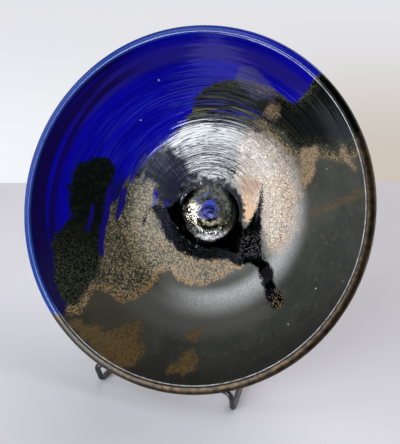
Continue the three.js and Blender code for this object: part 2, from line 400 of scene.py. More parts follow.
def inner_wall(radius):
    """The inner face's height at a radius, with the rim's top at 0."""
    past = FLOOR_CURVE * math.log(1 + math.exp((radius - FLOOR_RADIUS) / FLOOR_CURVE))
    climb = (past / (LIP_INNER_RADIUS - FLOOR_RADIUS)) ** WALL_POWER
    short = FALL_CURVE * math.log(1 + math.exp((FALL_RADIUS - radius) / FALL_CURVE))
    return -FLOOR_DEPTH * (1 - climb) - FLOOR_FALL * short


def outer_wall(radius):
    rim_thickness = inner_wall(RIM_BAND_RADIUS) + RIM_BAND_HEIGHT
    share = (radius - FOOT_RADIUS) / (RIM_BAND_RADIUS - FOOT_RADIUS)
    thickness = FLOOR_THICKNESS + (rim_thickness - FLOOR_THICKNESS) * share
    short = FALL_CURVE * math.log(1 + math.exp((FALL_RADIUS - radius) / FALL_CURVE))
    return inner_wall(radius) - thickness + FLOOR_FALL * short


def bowl_section():
    """The bowl's half section as closely spaced points, with the way along it from the middle."""
    knots = list(WELL)
    knots += [(r, inner_wall(r)) for r in np.linspace(40, 170, 60)]
    knots += LIP
    knots += [(r, outer_wall(r)) for r in np.linspace(174.6, 64, 40)]
    knots += FOOT
    curve = smoothed(knots, closed=False)
    ways = np.concatenate([[0], np.cumsum(np.hypot(*np.diff(curve, axis=0).T))])
    lip_start, lip_end = [
        ways[np.argmin(np.linalg.norm(curve - spot, axis=1))] for spot in (LIP_START, LIP_END)
    ]
    spots = [0.4]
    while spots[-1] < ways[-1] - 1.5:
        on_lip = lip_start - 3 < spots[-1] < lip_end + 2
        past_lip = spots[-1] >= lip_end + 2
        spacing = LIP_SPACING if on_lip else OUTER_SPACING if past_lip else INNER_SPACING
        spots.append(spots[-1] + spacing)
    spots = np.array(spots)
    radius = np.interp(spots, ways, curve[:, 0])
    height = np.interp(spots, ways, curve[:, 1])
    return radius, height, spots, lip_start


def throwing_marks(way, angle, radius, rising):
    """The low spiral ridges that the potter's fingers leave, in millimetres."""
    turn = angle / (2 * math.pi)
    drift = 0.35 * np.sin(2 * angle + 0.7) + 0.2 * np.sin(5 * angle + way / 21)
    ridges = 0.03 * np.sin(2 * math.pi * (way / NARROW_RIDGES - turn) + drift)
    ridges += 0.035 * np.sin(2 * math.pi * (way / WIDE_RIDGES - turn) + 1.3 + drift)
    on_floor = np.clip((radius - 34) / 12, 0, 1) * np.clip((150 - radius) / 30, 0.35, 1)
    swirl = 0.10 * np.sin(2 * math.pi * (radius / WELL_SPIRAL - turn))
    swirl *= np.clip((26 - radius) / 8, 0, 1) * np.clip(radius / 4, 0, 1)
    thick_glaze = np.clip((rising + 40) / 80, 0.12, 1)
    return ridges * on_floor * thick_glaze + swirl


def bowl_vertices():
    """Each vertex's radius, height and angle, and its radius as if the outside were unrolled."""
    radius, height, way, lip_start = bowl_section()
    tangent = np.stack([np.gradient(radius), np.gradient(height)], 1)
    tangent /= np.linalg.norm(tangent, axis=1, keepdims=True)
    normal = np.stack([-tangent[:, 1], tangent[:, 0]], 1)
    angle = np.arange(SEGMENTS) * 2 * math.pi / SEGMENTS
    ring, turn = np.meshgrid(np.arange(len(radius)), angle, indexing="ij")
    base_radius = radius[ring]
    inside = way[ring] < lip_start
    marks = throwing_marks(way[ring], turn, base_radius, base_radius * np.sin(turn))
    trimming = 0.12 * np.sin(2 * math.pi * way[ring] / TRIMMING + 0.4 * np.sin(3 * turn))
    on_wall = ~inside & (way[ring] > lip_start + 24) & (base_radius > 66)
    lift = np.where(inside, marks, np.where(on_wall, trimming, 0))
    lip_sway = 0.16 * np.sin(3 * turn + 1) + 0.1 * np.sin(7 * turn)
    lift += lip_sway * np.exp(-(((base_radius - 176) / 9) ** 2))
    r = base_radius + lift * normal[ring, 0]
    h = height[ring] + lift * normal[ring, 1]
    beyond = np.where(inside, base_radius, LIP_INNER_RADIUS + way[ring] - lip_start)
    return r, h, turn, beyond


def set_layer(mesh, name, *columns):
    """Gives each vertex a number, or a vector of three."""
    kind, key = ("FLOAT", "value") if len(columns) == 1 else ("FLOAT_VECTOR", "vector")
    layer = mesh.attributes.new(name, kind, "POINT")
    layer.data.foreach_set(key, np.stack(columns, -1).astype(np.float32).ravel())


def grid_faces(rings, segments):
    """Quads between rings, a fan at the middle of the first ring and one at the last."""
    faces = []
    for i in range(rings - 1):
        for j in range(segments):
            k = (j + 1) % segments
            faces.append((i * segments + j, (i + 1) * segments + j,
                          (i + 1) * segments + k, i * segments + k))
    first, last = rings * segments, rings * segments + 1
    end = (rings - 1) * segments
    for j in range(segments):
        k = (j + 1) % segments
        faces.append((first, j, k))
        faces.append((last, end + k, end + j))
    return faces


def with_poles(values, first, last):
    return np.concatenate([values.ravel(), [first, last]])


def new_object(name, mesh, material):
    mesh.materials.append(material)
    mesh.polygons.foreach_set("use_smooth", [True] * len(mesh.polygons))
    made = bpy.data.objects.new(name, mesh)
    bpy.context.scene.collection.objects.link(made)
    return made


def make_bowl(material):
    r, h, turn, beyond = bowl_vertices()
    x = with_poles(r * np.cos(turn), 0, 0)
    s = with_poles(r * np.sin(turn), 0, 0)
    depth = with_poles(-h, -WELL[0][1], -FOOT[-1][1])
    far = beyond.max() + 1
    across = with_poles(beyond * np.cos(turn), 0, far)
    rising = with_poles(beyond * np.sin(turn), 0, 0)
    way = np.hypot(across, rising)
    places = (np.outer(x, ACROSS) + np.outer(s, RISE) + np.outer(depth, BACK)) * MM
    places += np.array(RIM_CENTRE)
    mesh = bpy.data.meshes.new("glazed_bowl")
    mesh.from_pydata(places.tolist(), [], grid_faces(*r.shape))
    set_layer(mesh, "place", x, s, depth)
    safe = np.maximum(way, 1e-6)
    set_layer(mesh, "ring", way, across / safe, rising / safe)
    for name, outlines in ZONES.items():
        set_layer(mesh, name, np.maximum(zone_depth(outlines, across, rising), -60))
    set_layer(mesh, "fringe", line_distance(FRINGE, across, rising))
    chips = np.minimum.reduce([np.hypot(across - a, rising - b) for a, b in CHIPS])
    set_layer(mesh, "chips", chips)
    bowl = new_object("glazed_bowl", mesh, material)
    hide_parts("basin")
    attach(bowl, "bowl")


# Bowl's glazes: the linear colours of each, at both ends of its mottling

GUNMETAL = (0.026, 0.027, 0.020), (0.038, 0.039, 0.031)
BRONZE = (0.013, 0.009, 0.006), (0.055, 0.034, 0.015)
OCHRE_GLAZE = (0.105, 0.066, 0.020), (0.040, 0.027, 0.010)
TAN_GLAZE = (0.24, 0.165, 0.095), (0.05, 0.04, 0.025)
CREAM_GLAZE = (0.46, 0.325, 0.22), (0.42, 0.325, 0.25)
WARM_GLAZE = (0.52, 0.32, 0.17), (0.33, 0.20, 0.125)
COARSE_LIGHT = (0.215, 0.165, 0.092), (0.200, 0.160, 0.085)
UNDER_GLARE = (0.006, 0.006, 0.012), (0.055, 0.058, 0.07)
COBALT_GLAZE = (0.0008, 0.0002, 0.20), (0.0030, 0.0010, 0.32)
MOSS_GLAZE = (0.0018, 0.0035, 0.0030), (0.008, 0.012, 0.007)
NAVY_GLAZE = (0.003, 0.004, 0.013), (0.014, 0.018, 0.028)
POOL_GLAZE = (0.0025, 0.0027, 0.0025), (0.0055, 0.0052, 0.013)
FLECKS = (0.16, 0.15, 0.155), (0.22, 0.165, 0.07)
WELL_BOTTOM = (0.016, 0.018, 0.012), (0.14, 0.12, 0.085)
# Painted shade for the well's upper wall.
WELL_SHADE = (0.003, 0.004, 0.005), (0.022, 0.022, 0.016)
CLAY = (0.30, 0.20, 0.125), (0.21, 0.135, 0.085)
BUBBLE = (19, 47, 75.9)
WELL_HEART = (-3, 5, 80)


def zone_mask(g, name, place, grain, edge, sway, speckle, extra=0.0):
    """A zone's share, with a swaying edge that breaks up into grains."""
    depth = g.plus(g.number(name), g.sway(place, 9, sway), g.times(grain, speckle), extra)
    return g.step(depth, -edge, edge)


def glaze_material():
    g = Graph(bpy.data.materials.new("glazed_stoneware"))
    place = g.vector("place")
    ring = g.vector("ring")
    way = g.split(ring)["X"]
    apart = g.split(place)
    across, rising = apart["X"], apart["Y"]

    grain = g.sway(place, 1.1, 1.0, detail=1)
    coarse_grain = g.sway(place, 1.4, 1.0, detail=2)
    cloud = g.noise(place, 26, 3)
    mottle = g.noise(place, 6, 4, 0.6)
    grooves = g.noise(ring, 1, 1.5, 0.6, stretch=(1 / 1.5, 2.2, 2.2))
    bands = g.noise(ring, 1, 3, 0.65, stretch=(1 / 5.5, 1.1, 1.1))
    runs = g.noise(ring, 1, 3, 0.6, stretch=(1 / 45, 26, 26))
    salt = g.grains(place, 1.15)
    fine_salt = g.grains(place, 0.95)
    creases = g.fall(g.math("ABSOLUTE", g.plus(grooves, -0.5)), 0.012, 0.045)

    brushed = g.times(g.scaled(bands, 0.3, 0.7, -7, 7), g.fall(way, 104, 112))
    brushed = g.times(brushed, g.step(rising, 0, 20))
    outer_ragged = g.times(g.step(way, 178, 190), g.sway(place, 11, 9, detail=4))
    brushed = g.plus(brushed, outer_ragged)
    edges = {
        "cobalt": (grain, 1.5, 1.2, 0.5, brushed),
        "streaks": (grain, 0.8, 0.5, 0.5),
        "moss": (grain, 1.4, 1.6, 1.6),
        "haze": (grain, 2.5, 1.5, 0.4),
        "coarse": (coarse_grain, 1.2, 2.2, 1.4),
        "cream": (grain, 9, 4, 1.5),
        "warm": (grain, 3, 3, 1),
        "ochre": (coarse_grain, 2.6, 3.5, 1.8),
        "navy": (grain, 7, 5, 2),
        "pool": (grain, 1.2, 1.6, 2.0),
        "tan": (coarse_grain, 2.5, 2.0, 1.5),
    }
    mask = {name: zone_mask(g, name, place, *edge) for name, edge in edges.items()}
    inside = g.fall(way, 171.5, 174)
    beyond = g.inverse(inside)
    lip = g.band(way, 170.2, 172, 186, 196)
    foot = g.step(apart["Z"], 88.3, 89)
    # A pale line along the lip's inner edge, painted as a highlight.
    rim_highlight_line = g.band(way, 170.4, 170.9, 171.8, 172.4)

    # Gunmetal ground, with a pale crescent painted in as a highlight on the side that faces the
    # light, and a painted sheen below it near the bottom
    low_left = g.times(g.fall(across, -70, 0), g.step(coarse_grain, -0.6, 0.8))
    far_down = g.times(g.step(way, 135, 170), g.fall(rising, -110, -20))
    low_sheen = g.times(g.band(way, 94, 104, 118, 138), g.fall(rising, -100, -60))
    facing = g.plus(g.times(across, 0.82 / 92), g.times(rising, -0.57 / 92))
    highlight_crescent = g.times(g.band(way, 76, 90, 90, 115), g.step(facing, 0.05, 0.9))
    colour = g.layered(
        g.mix(g.step(cloud, 0.3, 0.7), *GUNMETAL),
        (g.step(mottle, 0.52, 0.75), (0.052, 0.050, 0.036)),
        (low_left, (0.050, 0.044, 0.018)),
        (g.times(far_down, 0.85), (0.012, 0.011, 0.008)),
        (g.times(low_sheen, 0.7), (0.085, 0.083, 0.072)),
        (g.times(highlight_crescent, g.scaled(grain, -1, 1, 0.45, 1.2)), (0.38, 0.37, 0.37)),
    )

    # Lip and outside
    bronze = g.mix(g.step(mottle, 0.35, 0.65), *BRONZE)
    low_side = g.step(g.math("SUBTRACT", across, g.times(rising, 0.6)), -40, 120)
    bronze = g.mix(low_side, (0.050, 0.048, 0.040), bronze)
    colour = g.mix(beyond, colour, bronze)

    # Ochre patches
    ochre = g.mix(g.step(salt, 0.60, 0.75), *OCHRE_GLAZE)
    ochre_share = g.times(mask["ochre"], g.scaled(g.step(across, 90, 110), 0, 1, 0.92, 0.45))
    colour = g.mix(ochre_share, colour, ochre)

    # Cream, with dark specks, and its two warm spots
    speck_column = g.band(across, 66, 80, 86, 94)
    speck_share = g.scaled(speck_column, 0, 1, 0.06, 0.15)
    specks = g.step(g.plus(speck_share, g.times(fine_salt, -1)), -0.02, 0.02)
    cream = g.layered(
        g.mix(g.step(cloud, 0.35, 0.65), *CREAM_GLAZE),
        (g.times(g.step(rising, 35, 60), 0.8), (0.33, 0.27, 0.24)),
        (g.step(fine_salt, 0.74, 0.9), (0.64, 0.59, 0.54)),
        (g.times(g.fall(fine_salt, 0.2, 0.4), 0.5), (0.24, 0.18, 0.13)),
        (g.times(specks, 0.85), (0.05, 0.042, 0.034)),
    )
    warm = g.mix(g.step(rising, 16, 30), *WARM_GLAZE)
    colour = g.layered(colour, (mask["cream"], cream), (mask["warm"], warm))

    # Coarse speckle, tan along its lower edge
    fringe = g.fall(g.plus(g.number("fringe"), g.sway(place, 5, 2.4)), 3.5, 10)
    left_arc = g.times(g.band(way, 86, 94, 100, 108), g.fall(rising, -10, 10))
    towards_moss = g.step(g.number("moss"), -46, -4)
    towards_pool = g.step(g.number("pool"), -26, -4)
    shade = g.plus(g.scaled(cloud, 0.3, 0.7, -0.12, 0.14), g.times(left_arc, 0.14), 0.51)
    shade = g.plus(shade, g.times(towards_moss, 0.16), g.times(towards_pool, -0.06))
    shade = g.plus(shade, g.times(fringe, -0.22))
    black_grains = g.step(g.plus(shade, g.times(salt, -1)), -0.10, 0.10)
    light = g.mix(g.step(cloud, 0.35, 0.65), *COARSE_LIGHT)
    under_pool = g.times(towards_pool, g.fall(rising, -46, -30))
    light = g.mix(g.most(fringe, g.times(under_pool, 0.8)), light, (0.235, 0.135, 0.05))
    light = g.mix(g.times(g.step(fine_salt, 0.75, 0.9), 0.8), light, (0.36, 0.29, 0.19))
    speckled = g.mix(g.times(black_grains, 0.98), light, (0.013, 0.016, 0.009))
    colour = g.mix(mask["coarse"], colour, speckled)

    # Speckled halo round the upper moss
    upper = g.step(rising, 30, 50)
    halo = g.times(g.step(g.number("moss"), -16, -2), upper, g.step(across, 30, 70))
    halo_grains = g.step(g.plus(g.scaled(halo, 0, 1, 0.1, 0.95), g.times(salt, -1)), -0.06, 0.06)
    halo_colour = g.mix(halo_grains, (0.20, 0.14, 0.07), (0.016, 0.019, 0.010))
    colour = g.mix(g.times(g.step(halo, 0, 0.5), inside), colour, halo_colour)

    # Dark floor above the well, under the glossy rings
    slanted = g.plus(rising, g.times(across, -0.5))
    top_floor = g.times(g.step(slanted, 18, 36), g.step(rising, 20, 36))
    top_floor = g.times(top_floor, g.fall(way, 98, 106), g.inverse(mask["cream"]))
    under_glare = g.mix(g.step(grooves, 0.46, 0.62), *UNDER_GLARE)
    colour = g.mix(top_floor, colour, under_glare)

    # Brown edge of the blue on the outside
    outer_fringe = g.step(g.plus(g.number("cobalt"), outer_ragged), -7, -1)
    outer_fringe = g.times(outer_fringe, beyond, g.step(salt, 0.25, 0.5), 0.8)
    colour = g.mix(outer_fringe, colour, (0.14, 0.09, 0.045))

    # Cobalt
    blue = g.mix(g.step(bands, 0.35, 0.72), *COBALT_GLAZE)
    near_floor = g.band(way, 84, 100, 122, 150)
    paler = g.times(g.step(grooves, 0.45, 0.75), g.plus(g.times(near_floor, 0.45), 0.06))
    blue = g.mix(paler, blue, (0.020, 0.035, 0.34))
    purple = g.times(g.band(way, 148, 154, 160, 168), g.step(rising, 40, 120))
    blue = g.mix(g.times(purple, 0.6), blue, (0.018, 0.012, 0.13))
    shadow = g.times(g.step(way, 158, 168), inside, g.fall(rising, 40, 130))
    blue = g.mix(g.times(shadow, 0.8), blue, (0.001, 0.001, 0.030))
    left_bands = g.times(g.step(way, 148, 156), inside, g.fall(across, -110, -60))
    bars = g.noise(ring, 1, 1, stretch=(1 / 4, 0.7, 0.7))
    left_bands = g.times(left_bands, g.step(bars, 0.40, 0.55))
    low = g.times(g.fall(rising, -110, -30), g.step(way, 120, 140))
    strait = g.times(g.band(across, -116, -112, -100, -92), g.fall(rising, 10, 40))
    # The lip's paler blue is partly the glaze thinning over the edge and partly a painted
    # highlight, strongest on the left.
    lip_highlight_side = g.scaled(g.fall(across, -40, 90), 0, 1, 0.15, 1)
    blue = g.layered(
        blue,
        (g.times(left_bands, 0.9), (0.004, 0.001, 0.040)),
        (g.times(low, 0.75), (0.004, 0.001, 0.050)),
        (g.times(strait, g.step(bands, 0.35, 0.55), 0.9), (0.004, 0.004, 0.024)),
        (g.times(lip, 0.75, lip_highlight_side), (0.016, 0.055, 0.25)),
        (g.times(beyond, g.inverse(lip), 0.6), (0.002, 0.003, 0.08)),
    )
    colour = g.mix(mask["cobalt"], colour, blue)

    # Moss black, tan spots and the lilac haze
    olive = g.times(g.step(salt, 0.55, 0.7), g.fall(rising, -90, -15))
    rim_of_moss = g.times(g.fall(g.number("moss"), 2, 12), g.step(across, -20, 30))
    olive = g.most(olive, g.times(g.step(salt, 0.6, 0.7), rim_of_moss))
    top_lines = g.times(g.step(rising, 96, 104), g.fall(way, 112, 126))
    moss = g.layered(
        g.mix(g.step(mottle, 0.45, 0.8), *MOSS_GLAZE),
        (g.times(olive, 0.75), (0.050, 0.050, 0.024)),
        (g.times(top_lines, g.step(grooves, 0.5, 0.62)), (0.012, 0.014, 0.12)),
        (g.times(top_lines, g.fall(grooves, 0.34, 0.40)), (0.10, 0.095, 0.05)),
    )
    colour = g.mix(mask["moss"], colour, moss)
    tan = g.mix(g.step(fine_salt, 0.66, 0.80), *TAN_GLAZE)
    lilac = (g.times(mask["haze"], 0.6), (0.055, 0.050, 0.115))
    colour = g.layered(colour, (mask["tan"], tan), lilac)

    # Matt navy, blue streaks and the black pool with its run
    fuzz = g.times(mask["navy"], g.scaled(runs, 0.35, 0.6, 0.9, 1))
    outer_fuzz = g.fall(across, -66, -44)
    navy = g.mix(outer_fuzz, *NAVY_GLAZE)
    navy = g.mix(g.step(grooves, 0.58, 0.75), navy, (0.014, 0.017, 0.045))
    colour = g.mix(fuzz, colour, navy)
    colour = g.mix(g.times(mask["streaks"], 0.95), colour, (0.006, 0.003, 0.14))

    tip = g.times(g.step(across, 76, 90), g.fall(rising, -74, -58))
    freckled = g.times(g.step(across, 34, 44), g.band(rising, -45, -36, -20, -8))
    flecks = g.times(g.step(fine_salt, 0.62, 0.76), g.most(tip, g.times(freckled, 0.6)))
    glass = g.mix(g.step(cloud, 0.4, 0.7), *POOL_GLAZE)
    glass = g.mix(g.step(fine_salt, 0.70, 0.95), glass, (0.013, 0.013, 0.013))
    glass = g.mix(g.times(flecks, 0.8), glass, g.mix(tip, *FLECKS))
    colour = g.mix(mask["pool"], colour, glass)

    # Bubble and well, with painted shade on the well's upper wall and a painted highlight along
    # its lower edge
    bubble_way = g.distance(place, BUBBLE)
    bubble = g.band(bubble_way, 2.6, 3.4, 4.4, 5.2)
    bubble = g.most(bubble, g.fall(bubble_way, 0.7, 1.4))
    colour = g.mix(g.times(bubble, 0.85), colour, (0.010, 0.010, 0.008))

    well = g.fall(g.plus(way, g.sway(place, 7, 1.5)), 28, 31)
    puddle = g.noise(place, 6, 4, 0.75, distortion=1.2)
    upper_well = g.step(g.plus(rising, g.times(across, 0.5)), -8, 10)
    upper_well_shade = g.mix(g.step(fine_salt, 0.55, 0.75), *WELL_SHADE)
    left_well = g.fall(g.plus(across, g.sway(place, 4, 5)), -24, -8)
    left_well = g.times(left_well, g.fall(rising, 2, 10), g.step(salt, 0.15, 0.4))
    # A painted highlight along the well's lower edge.
    well_highlight = g.times(g.step(way, 17, 22), g.fall(rising, -21, -13))
    heart = g.fall(g.plus(g.distance(place, WELL_HEART), g.sway(place, 8, 7)), 5, 15)
    bottom = g.layered(
        g.mix(g.step(puddle, 0.42, 0.6), *WELL_BOTTOM),
        (g.times(upper_well, 0.96), upper_well_shade),
        (left_well, (0.80, 0.72, 0.60)),
        (g.times(well_highlight, g.step(puddle, 0.35, 0.55)), (0.62, 0.64, 0.66)),
        (g.times(heart, 0.85), (0.006, 0.009, 0.075)),
    )
    colour = g.mix(well, colour, bottom)
    ragged_way = g.plus(way, g.sway(place, 6, 7))
    ring_shadow = g.times(g.step(way, 28, 30.5), g.fall(ragged_way, 37, 42))
    ring_shadow = g.times(ring_shadow, g.scaled(mottle, 0.3, 0.62, 1, 0.75))
    colour = g.mix(ring_shadow, colour, (0.0012, 0.0012, 0.002))
    # Pale flecks on the left of the dark ring are painted glints.
    glint_flecks = g.times(ring_shadow, g.step(puddle, 0.58, 0.66), g.fall(across, -12, 8))
    colour = g.mix(g.times(glint_flecks, 0.7), colour, (0.28, 0.28, 0.31))

    # Bare foot, a pale line along the lip's inner edge painted as a highlight on the right and
    # bottom, and pinholes
    clay = g.mix(g.step(mottle, 0.35, 0.7), *CLAY)
    colour = g.mix(foot, colour, clay)
    highlight_side = g.most(g.step(across, -20, 60), g.fall(rising, -150, -110))
    highlight_strength = g.scaled(runs, 0.35, 0.6, 0.3, 0.8)
    colour = g.mix(g.times(rim_highlight_line, highlight_side, highlight_strength), colour, (0.60, 0.62, 0.66))
    chips = g.times(g.fall(g.number("chips"), 0.5, 1.3), inside)
    colour = g.mix(g.times(chips, 0.9), colour, (0.55, 0.53, 0.50))

    # Gloss
    shiny = [mask[name] for name in ("cobalt", "moss", "pool", "streaks", "haze")]
    glossy = g.most(*shiny, g.times(top_floor, 0.9), well)
    roughness = g.blend(g.step(mottle, 0.3, 0.7), 0.30, 0.37)
    for share, value in (
        (mask["cream"], 0.27),
        (g.times(mask["coarse"], 0.8), 0.42),
        (glossy, g.scaled(mottle, 0.3, 0.7, 0.07, 0.12)),
        (g.times(fuzz, 0.9), 0.62),
        (beyond, g.scaled(glossy, 0, 1, 0.36, 0.16)),
        (mask["pool"], 0.05),
        (foot, 0.85),
    ):
        roughness = g.blend(share, roughness, value)

    # Relief
    calm = g.plus(g.times(g.step(rising, -30, 40), 0.96), 0.04)
    ridge_strength = g.times(g.band(way, 34, 44, 116, 160), calm)
    ridge_strength = g.times(ridge_strength, g.inverse(mask["pool"]))
    height = g.plus(
        g.times(grooves, ridge_strength, 0.28),
        g.times(coarse_grain, mask["coarse"], 0.03),
        g.times(glossy, 0.05),
        g.times(grain, g.inverse(glossy), g.plus(g.times(highlight_crescent, 0.02), 0.010)),
        g.times(puddle, well, 0.30),
        g.times(bubble, 0.12),
        g.times(cloud, 0.08),
    )
    normal = g.bump(height, MM)
    # Glassy coat over the rings, painted shade in the creases between them, and dark glazes that
    # hardly reflect
    ridged = g.times(g.step(rising, 24, 40), g.fall(way, 98, 106))
    ridged = g.times(ridged, g.fall(across, 14, 38))
    lined = g.times(creases, ridge_strength, g.inverse(well))
    ridged = g.times(ridged, g.scaled(g.step(across, 0, 40), 0, 1, 1, 0.6))
    coat = g.times(ridged, g.inverse(fuzz), g.inverse(bubble), g.inverse(mask["warm"]))
    coat = g.times(coat, g.inverse(g.times(lined, 0.9)), g.inverse(ring_shadow), g.inverse(well))
    # The ring creases are painted dark as shade and kept from reflecting.
    crease_shade = g.times(lined, g.inverse(mask["cobalt"]), g.fall(across, 30, 70), 0.85)
    colour = g.mix(crease_shade, colour, (0.006, 0.006, 0.014))
    bare_pool = g.times(mask["pool"], 0.97, g.inverse(flecks))
    ring_dull = g.times(ring_shadow, g.inverse(glint_flecks), 0.99)
    upper_right = g.times(mask["moss"], g.step(across, 30, 80), g.fall(way, 146, 160))
    high_blue = g.times(mask["cobalt"], g.step(rising, 105, 140), inside)
    bare_lip = g.times(beyond, g.inverse(mask["cobalt"]), g.inverse(foot))
    bare_lip = g.times(bare_lip, g.inverse(rim_highlight_line), g.fall(way, 181, 186))
    metal = g.most(
        g.times(fuzz, 0.92), bare_pool, crease_shade, ring_dull, g.times(well, upper_well, 0.96),
        g.times(upper_right, 0.8), g.times(high_blue, 0.25), g.times(bare_lip, 0.75),
    )
    constants = {"IOR": 1.5, "Coat IOR": 1.6, "Coat Roughness": 0.1}
    inputs = {"Base_Color": colour, "Roughness": roughness, "Coat_Weight": coat, "Metallic": metal}
    return g.finish(constants, Normal=normal, Coat_Normal=normal, **inputs)


# Easel wires

WIRE_RADIUS = 2.75
LOOP_WIRE_RADIUS = 1.75
WIRE_SIDES = 20
BEND_RADIUS = 5.5
GAP = 0.3
WIRE_PITCH = 2 * WIRE_RADIUS + GAP
WELD_SIZE = Vector((2.3, 2.3, 4.3))
WELD_GAP = 1.6
BAR_OVERHANG = 4
PROP_BAR_OVERHANG = 6
TIE_BAR_BEHIND = 6
TIE_BAR_WELD = 66.6
LONGEST_TUBE_STEP = 9
FOOT_DEPTH = 91
UPRIGHT_BACK = FOOT_DEPTH + GAP + WIRE_RADIUS
FRONT_BAR_BACK = UPRIGHT_BACK - WIRE_PITCH
FEET_HALF_WIDTH = 70.5
CORNER_HALF_WIDTH = 63.6
UPRIGHT_TOP_HALF_WIDTH = 40
UPRIGHT_TOP = 92
PROP_SPREAD = math.radians(36)
LEG_TOP_HALF_WIDTH = 32
LEG_FOOT_HALF_WIDTH = 46
LEG_OVERRUN = 24
LEG_OFFSET = WIRE_PITCH + 0.05
PROP_CROSS_BAR_DROP = 100
HINGE_LOOP_RADIUS = 5.4
LOOP_BEND_RADIUS = 5.35


def rise_at_height(height, back):
    centre = RIM_CENTRE.z / MM
    return (height - centre + back * math.sin(LEAN)) / math.cos(LEAN)


UPRIGHT_BOTTOM = rise_at_height(WIRE_RADIUS, UPRIGHT_BACK)


def upright_half_width(rise):
    share = (rise - UPRIGHT_BOTTOM) / (UPRIGHT_TOP - UPRIGHT_BOTTOM)
    return CORNER_HALF_WIDTH + (UPRIGHT_TOP_HALF_WIDTH - CORNER_HALF_WIDTH) * share


def on_prop(x, down, behind):
    """A point on the open prop: down its legs from the hinge, and square behind them."""
    rise = HINGE_RISE - down * math.cos(PROP_SPREAD) + behind * math.sin(PROP_SPREAD)
    back = HINGE_BACK + down * math.sin(PROP_SPREAD) + behind * math.cos(PROP_SPREAD)
    return leaning(x, rise, back)


def leg_length():
    top = on_prop(0, 0, LEG_OFFSET).z
    return (MM - top) / (on_prop(0, 1, LEG_OFFSET).z - top)


LEG_LENGTH = leg_length()


def bent(corners, bend_radius, steps=8):
    """The corners' route with a fillet at each inner corner."""
    route = [corners[0]]
    for before, corner, after in zip(corners, corners[1:], corners[2:]):
        into = (corner - before).normalized()
        out = (after - corner).normalized()
        turn = into.angle(out)
        side = (out - into * math.cos(turn)).normalized()
        start = corner - into * bend_radius * MM * math.tan(turn / 2)
        centre = start + side * bend_radius * MM
        for k in range(steps + 1):
            angle = turn * k / steps
            spoke = into * math.sin(angle) - side * math.cos(angle)
            route.append(centre + spoke * bend_radius * MM)
    route.append(corners[-1])
    return route


def with_round_ends(route, radius, steps=4):
    """Stations of (place, radius) along a route that ends in half balls."""
    stations = []
    for end, inner in ((route[0], route[1]), (route[-1], route[-2])):
        along = (inner - end).normalized()
        cap = []
        for k in range(steps + 1):
            angle = math.radians(8) + (math.pi / 2 - math.radians(8)) * k / steps
            place = end + along * radius * MM * (1 - math.sin(angle))
            cap.append((place, radius * math.cos(angle)))
        stations.append(cap[::-1])
    first, last = stations[0], stations[1][::-1]
    middle = [(place, radius) for place in route[1:-1]]
    return first[:-1] + [(first[-1][0], radius)] + middle + [(last[0][0], radius)] + last[1:]


def subdivided(stations, longest):
    """Adds stations so that none is further than longest from the next."""
    full = [stations[0]]
    for (a, a_size), (b, b_size) in zip(stations, stations[1:]):
        parts = max(1, math.ceil((b - a).length / MM / longest))
        for k in range(1, parts + 1):
            full.append((a.lerp(b, k / parts), a_size + (b_size - a_size) * k / parts))
    return full


def add_tube(bm, corners, radius, bend_radius=BEND_RADIUS):
    route = bent(corners, bend_radius)
    stations = subdivided(with_round_ends(route, radius), LONGEST_TUBE_STEP)
    places = [place for place, _ in stations]
    tangents = [(b - a).normalized() for a, b in zip(places, places[1:])]
    tangents = [tangents[0]] + [
        (a + b).normalized() for a, b in zip(tangents, tangents[1:])
    ] + [tangents[-1]]
    normal = tangents[0].orthogonal().normalized()
    rings = []
    previous = tangents[0]
    for (place, size), tangent in zip(stations, tangents):
        normal = (previous.rotation_difference(tangent) @ normal).normalized()
        previous = tangent
        side = tangent.cross(normal)
        ring = []
        for k in range(WIRE_SIDES):
            angle = 2 * math.pi * k / WIRE_SIDES
            spoke = normal * math.cos(angle) + side * math.sin(angle)
            ring.append(bm.verts.new(place + spoke * size * MM))
        rings.append(ring)
    for a, b in zip(rings, rings[1:]):
        for k in range(WIRE_SIDES):
            m = (k + 1) % WIRE_SIDES
            bm.faces.new((a[k], a[m], b[m], b[k]))
    bm.faces.new(rings[0][::-1])
    bm.faces.new(rings[-1])


def add_weld(bm, place, along, seed):
    """A lumpy bead that fills the corner between two crossing wires."""
    turn = Vector((0, 0, 1)).rotation_difference(along)
    made = bmesh.ops.create_uvsphere(bm, u_segments=14, v_segments=10, radius=1)
    for v in made["verts"]:
        lump = 1 + 0.08 * math.sin(7 * v.co.x + seed) + 0.06 * math.sin(9 * v.co.y + 2 * seed)
        size = WELD_SIZE * lump
        v.co = place + turn @ Vector([a * b for a, b in zip(v.co, size)]) * MM


def make_wire(node, body, material, routes, welds=(), radius=WIRE_RADIUS, bend_radius=BEND_RADIUS):
    bm = bmesh.new()
    for corners in routes:
        add_tube(bm, corners, radius, bend_radius)
    for seed, (place, along) in enumerate(welds):
        add_weld(bm, place, along, seed)
    mesh = bpy.data.meshes.new("round_" + node)
    bmesh.ops.recalc_face_normals(bm, faces=bm.faces)
    bm.to_mesh(mesh)
    bm.free()
    piece = new_object("round_" + node, mesh, material)
    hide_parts(node)
    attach(piece, body)


def side_wire_corners(side):
    return [
        standing(side * 54, -56, 20),
        standing(side * 71.2, -67, 27.5),
        standing(side * FEET_HALF_WIDTH, -57.5, WIRE_RADIUS),
        leaning(side * CORNER_HALF_WIDTH, UPRIGHT_BOTTOM, UPRIGHT_BACK),
        leaning(side * UPRIGHT_TOP_HALF_WIDTH, UPRIGHT_TOP, UPRIGHT_BACK),
    ]


